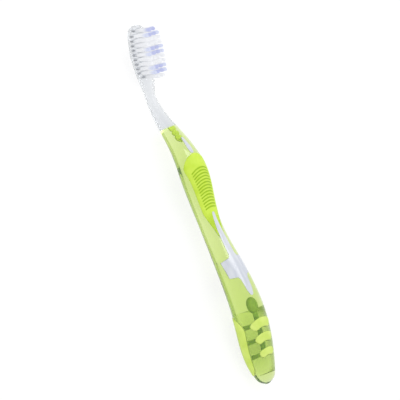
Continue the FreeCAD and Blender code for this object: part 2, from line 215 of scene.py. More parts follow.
def slab(top, bottom):
    """Points and faces of a closed solid between two grids of the same shape."""
    rows, columns = top.shape[:2]
    points = np.concatenate([top.reshape(-1, 3), bottom.reshape(-1, 3)])
    under = rows * columns
    faces = []
    for i in range(rows - 1):
        for j in range(columns - 1):
            a, b = i * columns + j, (i + 1) * columns + j
            faces.append((a, a + 1, b + 1, b))
            faces.append((under + a, under + b, under + b + 1, under + a + 1))
    rim = [j for j in range(columns)]
    rim += [i * columns + columns - 1 for i in range(1, rows)]
    rim += [(rows - 1) * columns + j for j in range(columns - 2, -1, -1)]
    rim += [i * columns for i in range(rows - 2, 0, -1)]
    for a, b in zip(rim, rim[1:] + rim[:1]):
        faces.append((a, b, under + b, under + a))
    return points, faces


def eased(count, low, high):
    """Positions from low to high that crowd towards both ends."""
    return low + (high - low) * 0.5 * (1 - np.cos(np.linspace(0, math.pi, count)))


def rounded_edge(inside, proud, radius):
    """Height of a pad's face at a distance inside its edge, with the edge rounded over."""
    near = np.clip(1 - inside / radius, 0, 1)
    return proud - radius * (1 - np.sqrt(np.maximum(1 - near ** 2, 0)))


# Materials, with the share of shadow rays that plastic and rubber let through

PLASTIC_SHADOW_SHARE = 1.0
RUBBER_SHADOW_SHARE = 0.7
UNDYED_NYLON = ((243, 245, 252), (252, 253, 255))


def node_material(name):
    """Make an empty node material and return it with its nodes, its shader and its output."""
    material = bpy.data.materials.new(name)
    material.use_nodes = True
    nodes = material.node_tree.nodes
    return material, nodes, nodes["Principled BSDF"], nodes["Material Output"]


def noise(nodes, links, scale, detail=3.0, stretch=(1.0, 1.0, 1.0)):
    """Add object-space noise and return its value socket. Scale is per metre."""
    where = nodes.new("ShaderNodeTexCoord")
    mapping = nodes.new("ShaderNodeMapping")
    mapping.inputs["Scale"].default_value = stretch
    texture = nodes.new("ShaderNodeTexNoise")
    texture.inputs["Scale"].default_value = scale
    texture.inputs["Detail"].default_value = detail
    links.new(where.outputs["Object"], mapping.inputs["Vector"])
    links.new(mapping.outputs["Vector"], texture.inputs["Vector"])
    return texture.outputs["Fac"]


def span(nodes, links, value, low, high):
    """Map a noise value to a range."""
    ramp = nodes.new("ShaderNodeMapRange")
    ramp.inputs["From Min"].default_value = 0.3
    ramp.inputs["From Max"].default_value = 0.7
    ramp.inputs["To Min"].default_value = low
    ramp.inputs["To Max"].default_value = high
    links.new(value, ramp.inputs["Value"])
    return ramp.outputs["Result"]


def tint(nodes, links, value, dark, light):
    """Mix two colours by a noise value."""
    ramp = nodes.new("ShaderNodeValToRGB")
    ramp.color_ramp.elements[0].position = 0.35
    ramp.color_ramp.elements[1].position = 0.65
    ramp.color_ramp.elements[0].color = (*linear(dark), 1)
    ramp.color_ramp.elements[1].color = (*linear(light), 1)
    links.new(value, ramp.inputs["Fac"])
    return ramp.outputs["Color"]


def bump(nodes, links, value, shader, strength, distance):
    """Drive a shader's normal by a height value. Distance is in millimetres."""
    node = nodes.new("ShaderNodeBump")
    node.inputs["Strength"].default_value = strength
    node.inputs["Distance"].default_value = distance * MM
    links.new(value, node.inputs["Height"])
    links.new(node.outputs["Normal"], shader.inputs["Normal"])


def linear(colour):
    """Turn a colour of 0 to 255 as seen on screen into linear light."""
    steps = [c / 255 for c in colour]
    return tuple(c / 12.92 if c <= 0.04045 else ((c + 0.055) / 1.055) ** 2.4 for c in steps)


def let_through(nodes, links, shader, output, colour, share, straight=0.0):
    """Let a share of the light pass a piece to what lies behind it, tinted.

    Share is for shadow rays. Straight is the share of every other ray that passes: a number, or the
    name of a value stored on the mesh.
    """
    path = nodes.new("ShaderNodeLightPath")
    part = nodes.new("ShaderNodeMapRange")
    part.inputs["To Max"].default_value = share
    passing = nodes.new("ShaderNodeBsdfTransparent")
    passing.inputs["Color"].default_value = (*linear(colour), 1)
    mix = nodes.new("ShaderNodeMixShader")
    if isinstance(straight, str):
        stored = nodes.new("ShaderNodeAttribute")
        stored.attribute_name = straight
        links.new(stored.outputs["Fac"], part.inputs["To Min"])
    else:
        part.inputs["To Min"].default_value = straight
    links.new(path.outputs["Is Shadow Ray"], part.inputs["Value"])
    links.new(part.outputs["Result"], mix.inputs["Fac"])
    links.new(shader.outputs["BSDF"], mix.inputs[1])
    links.new(passing.outputs["BSDF"], mix.inputs[2])
    links.new(mix.outputs["Shader"], output.inputs["Surface"])


def clear_plastic(name, colour, absorbed, density, ior, straight, rough=(0.02, 0.07)):
    """Moulded transparent plastic: slight waves, fine handling scratches, colour by depth."""
    material, nodes, shader, output = node_material(name)
    links = material.node_tree.links
    shader.inputs["Base Color"].default_value = (*linear(colour), 1)
    shader.inputs["Transmission Weight"].default_value = 1.0
    shader.inputs["IOR"].default_value = ior
    shader.inputs["Coat Weight"].default_value = 0.4
    shader.inputs["Coat Roughness"].default_value = 0.06
    scuffs = noise(nodes, links, 900.0, 4.0, (0.25, 1.0, 1.0))
    links.new(span(nodes, links, scuffs, *rough), shader.inputs["Roughness"])
    waves = noise(nodes, links, 160.0, 1.0, (0.3, 1.0, 1.0))
    bump(nodes, links, waves, shader, 0.25, 0.05)
    depth = nodes.new("ShaderNodeVolumeAbsorption")
    depth.inputs["Color"].default_value = (*absorbed, 1)
    depth.inputs["Density"].default_value = density
    links.new(depth.outputs["Volume"], output.inputs["Volume"])
    let_through(nodes, links, shader, output, colour, PLASTIC_SHADOW_SHARE, straight)
    return material


def shade_by(nodes, links, colour, attribute, low, high, other):
    """Mix a colour towards another where a value stored on the mesh is high."""
    stored = nodes.new("ShaderNodeAttribute")
    stored.attribute_name = attribute
    fade = nodes.new("ShaderNodeMapRange")
    fade.interpolation_type = "SMOOTHSTEP"
    fade.inputs["From Min"].default_value = low
    fade.inputs["From Max"].default_value = high
    mix = nodes.new("ShaderNodeMix")
    mix.data_type = "RGBA"
    mix.inputs["B"].default_value = (*linear(other), 1)
    links.new(stored.outputs["Fac"], fade.inputs["Value"])
    links.new(fade.outputs["Result"], mix.inputs["Factor"])
    links.new(colour, mix.inputs["A"])
    return mix.outputs["Result"]


def soft_rubber(name, dark, light, hollow=None, straight=0.0, passed=None):
    """Satin moulded rubber with a fine grain.

    Where the mesh marks it, a third colour takes over if one is given: painted shade in the thumb grip's
    grooves and painted light on the back pad's inner face.
    """
    material, nodes, shader, output = node_material(name)
    links = material.node_tree.links
    patches = noise(nodes, links, 220.0, 3.0)
    colour = tint(nodes, links, patches, dark, light)
    if hollow:
        colour = shade_by(nodes, links, colour, "hollow", 0.1, 0.9, hollow)
    links.new(colour, shader.inputs["Base Color"])
    grain = noise(nodes, links, 5200.0, 2.0)
    links.new(span(nodes, links, grain, 0.42, 0.58), shader.inputs["Roughness"])
    bump(nodes, links, grain, shader, 0.25, 0.03)
    shader.inputs["Specular IOR Level"].default_value = 0.45
    let_through(nodes, links, shader, output, passed or light, RUBBER_SHADOW_SHARE, straight)
    return material


def nylon(name, dark, light, tip=None):
    """Filaments with a soft gloss, small differences between them, and dyed tips if a colour is given."""
    material, nodes, shader, _ = node_material(name)
    links = material.node_tree.links
    strands = noise(nodes, links, 2600.0, 2.0)
    colour = tint(nodes, links, strands, dark, light)
    if tip:
        colour = shade_by(nodes, links, colour, "rise", 0.5, 0.95, tip)
    links.new(colour, shader.inputs["Base Color"])
    links.new(span(nodes, links, strands, 0.25, 0.4), shader.inputs["Roughness"])
    bump(nodes, links, strands, shader, 0.1, 0.01)
    return material


def drawn_metal(name, dark, light):
    """Thin drawn metal strip with lines along it."""
    material, nodes, shader, _ = node_material(name)
    links = material.node_tree.links
    lines = noise(nodes, links, 9000.0, 2.0, (1.0, 0.06, 1.0))
    links.new(tint(nodes, links, lines, dark, light), shader.inputs["Base Color"])
    links.new(span(nodes, links, lines, 0.25, 0.45), shader.inputs["Roughness"])
    shader.inputs["Metallic"].default_value = 1.0
    bump(nodes, links, lines, shader, 0.2, 0.01)
    return material


def frosted_window(name, dark, light):
    """Milky clear plastic of the window, with soft streaks along the handle."""
    material, nodes, shader, _ = node_material(name)
    links = material.node_tree.links
    streaks = noise(nodes, links, 420.0, 2.0, (0.15, 1.0, 1.0))
    links.new(tint(nodes, links, streaks, dark, light), shader.inputs["Base Color"])
    links.new(span(nodes, links, streaks, 0.12, 0.28), shader.inputs["Roughness"])
    shader.inputs["Transmission Weight"].default_value = 0.06
    shader.inputs["IOR"].default_value = 1.5
    shader.inputs["Coat Weight"].default_value = 0.3
    shader.inputs["Coat Roughness"].default_value = 0.08
    return material


CLEAR = clear_plastic("clear_moulding", (253, 254, 254), (0.61, 0.63, 0.69), 100.0, 1.3, "bond")
GREEN = clear_plastic("green_moulding", (246, 251, 230), (0.73, 0.85, 0.13), 110.0, 1.5, "bond")
# Its third colour is painted shade: a darker lime in the grooves between the ribs.
LIME = soft_rubber("lime_rubber", (192, 224, 52), (206, 234, 78), (158, 194, 10), "thin", (240, 252, 190))
LIME_LOBE = soft_rubber("lime_rubber_lobes", (200, 224, 100), (214, 234, 122))
# Its third colour is painted light: a paler lime on the pad's inner face, seen through the handle.
LIME_BACK = soft_rubber(
    "lime_rubber_back", (204, 230, 96), (218, 240, 118), (250, 255, 150), "thin", (253, 255, 240)
)
# The runner's lime is darker than the lobes' as painted shade, for lying inside the handle.
LIME_PAINTED_SHADE = soft_rubber("lime_rubber_painted_shade", (150, 190, 40), (172, 208, 60))
LIME_POST = soft_rubber("lime_rubber_posts", (200, 224, 100), (214, 234, 122), None, 0.45, (240, 251, 205))
LIME_KEY = soft_rubber("lime_rubber_key", (224, 250, 70), (236, 255, 96))
WINDOW = frosted_window("window_moulding", (203, 208, 219), (222, 226, 233))
WHITE_NYLON = nylon("white_nylon", *UNDYED_NYLON)
BLUE_NYLON = nylon("blue_nylon", *UNDYED_NYLON, (194, 200, 241))
TINGED_NYLON = nylon("tinged_nylon", *UNDYED_NYLON, (219, 225, 250))
METAL = drawn_metal("anchor_strip", (150, 152, 156), (198, 200, 204))


# Outlines round a row of circles, each given by its centre along X and its radius


def inside_hull(circles, x, y, shrink=0.0):
    """Distance inside the outline round a row of circles along X."""
    best = -1e9
    for (x0, r0), (x1, r1) in zip(circles, circles[1:]):
        r0, r1 = r0 - shrink, r1 - shrink
        length = x1 - x0
        lean = (r1 - r0) / length
        along = x - x0 + np.abs(y) * lean / math.sqrt(1 - lean ** 2)
        share = np.clip(along / length, 0, 1)
        best = np.maximum(best, r0 + (r1 - r0) * share - np.hypot(x - x0 - share * length, y))
    return best


def hull_outline(circles, steps):
    """Points of the outline round a row of circles along X, by the direction each one faces."""
    turn = np.linspace(0, 2 * math.pi, steps, endpoint=False)
    reach = np.full(steps, -1e9)
    points = np.zeros((steps, 2))
    for centre, radius in circles:
        support = centre * np.cos(turn) + radius
        take = support > reach
        reach = np.where(take, support, reach)
        points[take, 0] = (centre + radius * np.cos(turn))[take]
        points[take, 1] = (radius * np.sin(turn))[take]
    return points


def hull_edge(circles, x):
    """Upper edge of the outline round a row of circles, at positions along X."""
    points = hull_outline(circles, 4000)
    points = points[points[:, 1] >= 0]
    points = points[np.argsort(points[:, 0])]
    return np.interp(x, points[:, 0], points[:, 1])


THUMB_CIRCLES = ((WAIST - 11.0, 1.6), (WAIST + 2.0, 4.7), (THUMB + 2.0, 7.0))

# Handle: one smooth closed form from the tail to the collar

HANDLE_AROUND = 144
HANDLE_RINGS = 270
TAIL_DOME = 0.35
TAIL_DOME_INSET = 1.25
TAIL_DOME_RINGS = 6
TAIL_CROWDED_RUN = 20.0
TAIL_CROWDED_RINGS = 40
TAIL_CROWDING = 1.8
RECESS_DEPTH = 0.6
RECESS_MARGIN = 0.15
RECESS_SLOPE = 0.6
COLLAR_INSET = 0.2


def build_handle():
    """The green moulding, with a domed tail and a shallow recess under the thumb grip."""
    turn = np.linspace(0, 2 * math.pi, HANDLE_AROUND, endpoint=False)
    rings = []
    for k in range(1, TAIL_DOME_RINGS + 1):
        rise = k / TAIL_DOME_RINGS * math.pi / 2
        ring = skin_point(TAIL_X, turn, (math.sin(rise) - 1) * TAIL_DOME_INSET)
        rings.append(ring - [TAIL_DOME * math.cos(rise), 0, 0])
    crowded = np.linspace(0.02, 1, TAIL_CROWDED_RINGS) ** TAIL_CROWDING
    near_tail = TAIL_X + TAIL_CROWDED_RUN * crowded
    rest = np.linspace(near_tail[-1], COLLAR, HANDLE_RINGS)[1:]
    for x in np.concatenate([near_tail, rest]):
        across = skin_point(x, turn)[:, 1]
        under_grip = np.where(np.cos(turn) > 0.1, inside_hull(THUMB_CIRCLES, x, across), -1)
        recess = np.clip((under_grip - RECESS_MARGIN) / RECESS_SLOPE, 0, 1)
        rings.append(skin_point(x, turn, -RECESS_DEPTH * recess))
    rings.append(skin_point(COLLAR, turn, -COLLAR_INSET))
    bond = np.zeros((len(rings), HANDLE_AROUND))
    bond[-1] = 1.0
    faces = tube_faces(len(rings), HANDLE_AROUND)
    mesh = mesh_from("handle", np.array(rings), faces, {"bond": bond.ravel()})
    add_piece("handle", mesh, GREEN, ["handle_body"])


# Clear neck and head plate, joined and blended

PLATE_AROUND = 200
BACK_STEPS = 8
FRONT_STEPS = 6
NECK_AROUND = 96
NECK_RINGS = 130
NECK_BEHIND_COLLAR = 1.5
NECK_END_GAP = 0.05
NOSE_RINGS = 7
NOSE_STEP = 0.5
NOSE_NARROWING = 0.06
NOSE_RISE = 0.134
BLEND_VOXEL = 0.16
BLEND_PASSES = 30
COLLAR_CUT = 0.05
COLLAR_FACE = 0.04
NECK_STRAIGHT = 0.6


def plate_rings():
    """Rings of the head plate from the back face up to the front face."""
    profile = []
    for k in range(BACK_STEPS + 1):
        angle = k / BACK_STEPS * math.pi / 2
        profile.append((BACK_ROUND * (1 - math.sin(angle)), BACK_ROUND * (1 - math.cos(angle))))
    for k in range(FRONT_STEPS + 1):
        angle = k / FRONT_STEPS * math.pi / 2
        above = HEAD_THICK - FRONT_ROUND * (1 - math.sin(angle))
        profile.append((FRONT_ROUND * (1 - math.cos(angle)), above))
    rings = []
    for inset, above in profile:
        circles = [(centre, max(radius - inset, 0.05)) for centre, radius in HEAD_CIRCLES]
        outline = hull_outline(circles, PLATE_AROUND)
        rings.append(head_point(outline[:, 0], outline[:, 1], above))
    return np.array(rings)


def build_head():
    """The clear moulding: neck and plate remeshed into one, then cut off flat at the collar."""
    turn = np.linspace(0, 2 * math.pi, NECK_AROUND, endpoint=False)
    neck = []
    for x in np.linspace(COLLAR - NECK_BEHIND_COLLAR, HEEL - NECK_END_GAP, NECK_RINGS):
        neck.append(skin_point(x, turn))
    end = skin_point(HEEL - NECK_END_GAP, turn)
    for k in range(1, NOSE_RINGS + 1):
        neck.append(end * [1, 1 - NOSE_NARROWING * k, 1] + [NOSE_STEP * k, 0, NOSE_RISE * k])
    neck = np.array(neck)
    plate = plate_rings()
    points = np.concatenate([neck.reshape(-1, 3), plate.reshape(-1, 3)])
    faces = tube_faces(len(neck), NECK_AROUND)
    faces += tube_faces(len(plate), PLATE_AROUND, len(neck) * NECK_AROUND)
    mesh = mesh_from("head_blank", points, faces)
    blank = bpy.data.objects.new("head_blank", mesh)
    bpy.context.collection.objects.link(blank)
    merged = blank.modifiers.new("joined", "REMESH")
    merged.mode = "VOXEL"
    merged.voxel_size = BLEND_VOXEL * MM
    relaxed = blank.modifiers.new("relaxed", "SMOOTH")
    relaxed.factor = 0.5
    relaxed.iterations = BLEND_PASSES
    depsgraph = bpy.context.evaluated_depsgraph_get()
    result = bpy.data.meshes.new_from_object(blank.evaluated_get(depsgraph))
    bpy.data.objects.remove(blank)
    result.name = "head_and_neck"
    work = bmesh.new()
    work.from_mesh(result)
    collar = Vector((COLLAR - COLLAR_CUT, 0, 0)) * MM
    parts = work.verts[:] + work.edges[:] + work.faces[:]
    ends = bmesh.ops.bisect_plane(work, geom=parts, plane_co=collar, plane_no=(1, 0, 0), clear_inner=True)
    rim = [item for item in ends["geom_cut"] if isinstance(item, bmesh.types.BMEdge)]
    bmesh.ops.edgeloop_fill(work, edges=rim)
    bmesh.ops.recalc_face_normals(work, faces=work.faces)
    work.to_mesh(result)
    work.free()
    face_at = (COLLAR - COLLAR_FACE) * MM
    bond = [1.0 if vertex.co.x < face_at else NECK_STRAIGHT for vertex in result.vertices]
    store(result, "bond", bond)
    add_piece("clear_head_and_neck", result, CLEAR, ["head_and_neck"], 60.0)


# Tufts: bundles of filaments with rounded tips, bent round their anchors at the root

COLUMNS = (("outer_left", 1), ("inner_left", 1), ("inner_right", -1), ("outer_right", -1))
TUFT_SEED = 11
STRANDS = 36
STRAND_SIDES = 6
STRAND_RADIUS = 0.115
STRAND_TURN = 2.399963
STRAND_STRAY = 0.2
STRAND_LEAN = 0.07
STRAND_TRIM = (-0.12, 0.05)

# Levels of a strand above the head's back face, and the share of its radius there
STRAND_LEVELS = (
    (ROOT_FLOOR + 0.1, 1.0),
    (ROOT_FLOOR + 2.2, 1.0),
    (HEAD_THICK + 0.2, 1.0),
    (8.0, 1.0),
    (11.5, 1.0),
    (TUFT_TOP - 0.09, 1.0),
    (TUFT_TOP - 0.03, 0.72),
    (TUFT_TOP, 0.25),
)


def build_tuft(name, along, across, material, rng):
    """One tuft, its strands spread evenly and each a little out of line."""
    turn = np.linspace(0, 2 * math.pi, STRAND_SIDES, endpoint=False)
    points = []
    faces = []
    for k in range(STRANDS):
        reach = math.sqrt((k + 0.5) / STRANDS)
        angle = k * STRAND_TURN + rng.uniform(-STRAND_STRAY, STRAND_STRAY)
        lean_u = rng.gauss(0, STRAND_LEAN)
        lean_v = rng.gauss(0, STRAND_LEAN)
        trim = rng.uniform(*STRAND_TRIM)
        start = len(points) * STRAND_SIDES
        for level, scale in STRAND_LEVELS:
            rise = max(0.0, (level - HEAD_THICK) / (TUFT_TOP - HEAD_THICK))
            radius = TUFT_ROOT_RADIUS - STRAND_RADIUS + (TUFT_END_RADIUS - TUFT_ROOT_RADIUS) * rise
            u = radius * reach * math.cos(angle) + lean_u * rise ** 2
            v = radius * reach * math.sin(angle) + lean_v * rise ** 2
            if level < HEAD_THICK and abs(u) < ANCHOR_CLEAR:
                u = math.copysign(ANCHOR_CLEAR, u)
            ring_u = along + u + STRAND_RADIUS * scale * np.cos(turn)
            ring_v = across + v + STRAND_RADIUS * scale * np.sin(turn)
            points.append(head_point(ring_u, ring_v, level + trim * rise))
        faces += tube_faces(len(STRAND_LEVELS), STRAND_SIDES, start)
    mesh = bpy.data.meshes.new(name)
    mesh.from_pydata([Vector(p) * MM for p in np.concatenate(points)], [], faces)
    levels = np.array([level for level, scale in STRAND_LEVELS])
    rises = (levels - HEAD_THICK) / (TUFT_TOP - HEAD_THICK)
    store(mesh, "rise", np.repeat(np.tile(rises, STRANDS), STRAND_SIDES))
    tuft = add_piece(name, mesh, material, [name.replace("bristles", "tuft")], 75.0)
    # Stands in for the light that real nylon scatters from tuft to tuft
    tuft.visible_shadow = False
    tuft.visible_diffuse = False


def build_tufts():
    """All rows from the tip to the heel: inner pairs, and outer pairs except at both ends."""
    rng = random.Random(TUFT_SEED)
    middle = (ROW_COUNT + 1) // 2
    for row in range(1, ROW_COUNT + 1):
        along = FIRST_ROW_AT - (row - 1) * ROW_PITCH
        bow = COLUMN_BOW * ((row - middle) / (middle - 2)) ** 2
        for column, side in COLUMNS:
            inner = column.startswith("inner")
            if not inner and row in (1, ROW_COUNT):
                continue
            across = side * (INNER_COLUMN if inner else OUTER_COLUMN - bow)
            blue = inner and row in BLUE_ROWS
            material = BLUE_NYLON if blue else TINGED_NYLON if row in BLUE_ROWS else WHITE_NYLON
            build_tuft("bristles_%02d_%s" % (row, column), along, across, material, rng)


# Thumb grip: a long tapering pad with arched ribs

RIB_MARGIN = 1.25
RIB_COUNT = 14
RIB_PITCH = 1.5
RIB_START = 0.6
RIB_ARC = 8.0
RIB_DEPTH = 0.45
RIB_FADE = 0.5
THUMB_ROUND = 0.4
THUMB_UNDERCUT = 0.985
THUMB_TAIL_STRAIGHT = 0.25
THUMB_TAIL_RUN = 6.0


def build_thumb_grip():
    """The ribbed pad, with painted shade in its grooves. Its tail lets some rays through, so that the lime
    fades into the green.
    """
    rows, columns = 330, 71
    (tail_at, tail_radius), (pad_at, pad_radius) = THUMB_CIRCLES[0], THUMB_CIRCLES[-1]
    x = eased(rows, tail_at - tail_radius, pad_at + pad_radius)[:, None]
    v = np.sin(np.linspace(-math.pi / 2, math.pi / 2, columns))[None, :]
    y = v * hull_edge(THUMB_CIRCLES, x)
    x = np.broadcast_to(x, y.shape)
    height = rounded_edge(np.maximum(inside_hull(THUMB_CIRCLES, x, y), 0), GRIP_PROUD, THUMB_ROUND)
    apex = x - np.sqrt(RIB_ARC ** 2 - y ** 2) + RIB_ARC
    phase = (pad_at - RIB_START - apex) / RIB_PITCH
    ribbed = (phase > -0.5) & (phase < RIB_COUNT - 0.5)
    wave = np.where(ribbed, 0.5 + 0.5 * np.cos(2 * math.pi * phase), 0)
    fade = np.clip(inside_hull(THUMB_CIRCLES, x, y, RIB_MARGIN) / RIB_FADE, 0, 1)
    # This share cuts the grooves and also lays painted shade in them; the bottom face gets none.
    hollow = wave ** 1.5 * fade
    height = height - RIB_DEPTH * hollow
    top = front_point(x, y, height)
    bottom = front_point(x, y * THUMB_UNDERCUT, -GRIP_DEPTH)
    past_ribs = pad_at - RIB_START - (RIB_COUNT + 0.5) * RIB_PITCH - x
    thin = THUMB_TAIL_STRAIGHT * np.clip(past_ribs / THUMB_TAIL_RUN, 0, 1)
    groove_painted_shade = np.concatenate([hollow.ravel(), np.zeros(hollow.size)])
    stored = {"hollow": groove_painted_shade, "thin": np.tile(thin.ravel(), 2)}
    mesh = mesh_from("thumb_grip", *slab(top, bottom), stored)
    add_piece("ribbed_thumb_grip", mesh, LIME, ["thumb_grip"], 50.0)


# Front grip at the tail: three arched lobes, with a runner, leaf and posts inside the handle

LOBE_ARC = 9.2
LOBE_BLUNT = 2.6
LOBE_PROUD = GRIP_PROUD + 0.1
LOBE_ROUND = 0.7
RUNNER_DEPTH = 3.2
RUNNER_THICK = 1.8
RUNNER_HALF = 1.2
LEAF_AHEAD = 4.4
LEAF_HALF_LENGTH = 4.0
LEAF_HALF_WIDTH = 2.6
LEAF_HALF_DEPTH = 1.9
LEAF_TIP_GAP = 0.01
POST_RADIUS = 1.0
POST_FLARE = 0.35
POST_RINGS = 13
POST_AROUND = 32
POST_TOP_GAP = 0.6

# Each lobe: its distance behind the swell, its width along the handle and its half reach across
LOBES = ((4.7, 4.8, 6.0), (11.8, 4.4, 5.2), (19.0, 3.8, 4.4))


def lobe_solid(behind, width, half):
    """One arched lobe with a domed face and round ends."""
    rows, columns = 120, 33
    centre = SWELL - behind - LOBE_ARC
    end = LOBE_ARC * math.asin((half - 0.5 * width) / LOBE_ARC)
    s = eased(rows, -end - 0.5 * width, end + 0.5 * width)[:, None]
    over = np.maximum(np.abs(s) - end, 0)
    ends = np.maximum(1 - (2 * over / width) ** LOBE_BLUNT, 0)
    half_width = 0.5 * width * ends ** (1 / LOBE_BLUNT)
    c = np.sin(np.linspace(-math.pi / 2, math.pi / 2, columns))[None, :] * half_width
    inside = 0.5 * width - (np.abs(c) ** LOBE_BLUNT + over ** LOBE_BLUNT) ** (1 / LOBE_BLUNT)
    x = centre + (LOBE_ARC + c) * np.cos(s / LOBE_ARC)
    y = (LOBE_ARC + c) * np.sin(s / LOBE_ARC)
    top = front_point(x, y, rounded_edge(inside, LOBE_PROUD, LOBE_ROUND))
    bottom = front_point(x, y, -GRIP_DEPTH)
    return slab(top, bottom)


def runner_solid():
    """Stem under the lobes, swollen to a leaf at its end."""
    rows, around = 140, 32
    leaf_at = SWELL + LEAF_AHEAD
    tail = SWELL - LOBES[2][0]
    turn = np.linspace(0, 2 * math.pi, around, endpoint=False)
    rings = []
    for x in eased(rows, tail, leaf_at + LEAF_HALF_LENGTH - LEAF_TIP_GAP):
        leaf = math.sqrt(max(1 - ((x - leaf_at) / LEAF_HALF_LENGTH) ** 2, 0))
        half = LEAF_HALF_WIDTH * leaf
        deep = LEAF_HALF_DEPTH * leaf
        if x < leaf_at:
            half = max(half, RUNNER_HALF)
            deep = max(deep, 0.5 * RUNNER_THICK)
        middle = skin_point(x, 0.0, -RUNNER_DEPTH - 0.5 * RUNNER_THICK)[2]
        ring = [np.full(around, x), half * np.sin(turn), middle + deep * np.cos(turn)]
        rings.append(np.stack(ring, axis=-1))
    return np.array(rings).reshape(-1, 3), tube_faces(rows, around)


def post_solid(behind):
    """A post through the handle, from a lobe through the runner to the back grip."""
    x = SWELL - behind
    low = skin_point(x, math.pi, -GRIP_DEPTH)[2]
    high = skin_point(x, 0.0, -GRIP_DEPTH - POST_TOP_GAP)[2]
    turn = np.linspace(0, 2 * math.pi, POST_AROUND, endpoint=False)
    rings = []
    for share in np.linspace(0, 1, POST_RINGS):
        radius = POST_RADIUS * (1 + POST_FLARE * abs(2 * share - 1) ** 4)
        level = np.full(POST_AROUND, low + (high - low) * share)
        ring = [x + radius * np.cos(turn), radius * np.sin(turn), level]
        rings.append(np.stack(ring, axis=-1))
    return np.array(rings).reshape(-1, 3), tube_faces(POST_RINGS, POST_AROUND)


def joined(solids):
    """Points and faces of several solids as those of one."""
    points = []
    faces = []
    for solid_points, solid_faces in solids:
        start = sum(len(p) for p in points)
        points.append(solid_points)
        faces += [tuple(start + k for k in face) for face in solid_faces]
    return np.concatenate(points), faces


def build_front_grip():
    """The lobes that show, and the runner and posts seen through the handle."""
    lobes = joined([lobe_solid(*lobe) for lobe in LOBES])
    mesh = mesh_from("tail_lobes", *lobes)
    add_piece("tail_lobes", mesh, LIME_LOBE, ["tail_front_grip"], 50.0)
    # The runner takes the darker lime of painted shade.
    mesh = mesh_from("tail_runner", *runner_solid())
    add_piece("tail_runner", mesh, LIME_PAINTED_SHADE, (), 50.0)
    posts = joined([post_solid(lobe[0]) for lobe in LOBES])
    mesh = mesh_from("tail_posts", *posts)
    add_piece("tail_posts", mesh, LIME_POST, (), 50.0)


# Back grip at the tail, a leaning oval seen from the side

BACK_CIRCLES = ((-23.2, 5.5), (-5.6, 8.0))
BACK_LEAN = math.radians(8.1)
BACK_DROP = 5.4
BACK_LEVEL = RINGS[SWELL_RING][1] - BACK_DROP
BACK_EDGE_ROUND = 0.5
BACK_EDGE_SPREAD = 1.3

# Its middle lets rays straight through, more so at both ends, and its sides let none
BACK_STRAIGHT = 0.78
BACK_STRAIGHT_ENDS = 0.17
BACK_FRONT_RUN = 14.0
BACK_TAIL_RUN = 10.0
BACK_MIDDLE = 0.72
BACK_MIDDLE_FADE = 0.3


def build_back_grip():
    """The pad that wraps round the back. A paler lime on its inner face is painted light."""
    rows, columns = 200, 81
    outline = hull_outline(BACK_CIRCLES, 4000)
    edge_x = SWELL + outline[:, 0] * math.cos(BACK_LEAN) - outline[:, 1] * math.sin(BACK_LEAN)
    edge_z = BACK_LEVEL + outline[:, 0] * math.sin(BACK_LEAN) + outline[:, 1] * math.cos(BACK_LEAN)
    bottom_z = ring_height(edge_x) - ring_thick(edge_x)
    upper = edge_z > bottom_z + 0.02
    order = np.argsort(edge_x[upper])
    edge_x, edge_z = edge_x[upper][order], edge_z[upper][order]
    x = eased(rows, edge_x[0], edge_x[-1])[:, None]
    level = (np.interp(x, edge_x, edge_z) - ring_height(x)) / ring_thick(x)
    half_turn = math.pi - np.arccos(np.clip(level, -1, 1))
    v = np.sin(np.linspace(-math.pi / 2, math.pi / 2, columns))[None, :]
    turn = math.pi + v * half_turn
    place = skin_point(x, turn)
    ahead, above = place[..., 0] - SWELL, place[..., 2] - BACK_LEVEL
    along = ahead * math.cos(BACK_LEAN) + above * math.sin(BACK_LEAN)
    aside = above * math.cos(BACK_LEAN) - ahead * math.sin(BACK_LEAN)
    inside = np.maximum(inside_hull(BACK_CIRCLES, along, aside), 0)
    top = skin_point(x, turn, rounded_edge(inside * BACK_EDGE_SPREAD, GRIP_PROUD, BACK_EDGE_ROUND))
    bottom = skin_point(x, turn, -GRIP_DEPTH)
    # Painted light: the inner face is marked for the paler lime of its material.
    inner_face_painted_light = np.repeat([0.0, 1.0], rows * columns)
    front = np.clip(1 - (edge_x[-1] - place[..., 0]) / BACK_FRONT_RUN, 0, 1)
    tail = np.clip(1 - (place[..., 0] - edge_x[0]) / BACK_TAIL_RUN, 0, 1)
    middle = np.clip((BACK_MIDDLE - np.abs(v)) / BACK_MIDDLE_FADE, 0, 1)
    thin = (BACK_STRAIGHT + BACK_STRAIGHT_ENDS * np.sqrt(np.maximum(front, tail))) * middle
    stored = {"hollow": inner_face_painted_light, "thin": np.tile(thin.ravel(), 2)}
    mesh = mesh_from("tail_back_pad", *slab(top, bottom), stored)
    add_piece("tail_back_pad", mesh, LIME_BACK, ["tail_back_grip"], 50.0)


# Window where the clear core reaches the surface

WINDOW_AT = BELLY - 1.5
WINDOW_HALF_LENGTH = 5.4
WINDOW_HALF_WIDTH = 6.5
WINDOW_ARC = 20.0
WINDOW_PROUD = 0.03
WINDOW_ROUND = 0.25
WINDOW_DEPTH = 0.8


def build_window():
    """The window across the front, with its two long edges bowed outwards."""
    rows, columns = 60, 61
    y = eased(columns, -WINDOW_HALF_WIDTH, WINDOW_HALF_WIDTH)[None, :]
    half = WINDOW_HALF_LENGTH - WINDOW_ARC + np.sqrt(WINDOW_ARC ** 2 - y ** 2)
    u = np.sin(np.linspace(-math.pi / 2, math.pi / 2, rows))[:, None]
    x = WINDOW_AT + u * half
    y = np.broadcast_to(y, x.shape)
    inside = np.minimum(half * (1 - np.abs(u)), WINDOW_HALF_WIDTH - np.abs(y))
    top = front_point(x, y, rounded_edge(inside, WINDOW_PROUD, WINDOW_ROUND))
    bottom = front_point(x, y, -WINDOW_DEPTH)
    mesh = mesh_from("core_window", *slab(top, bottom))
    add_piece("core_window", mesh, WINDOW, (), 50.0)


# Strips of the clear core along the front, as places along X with the half width at each

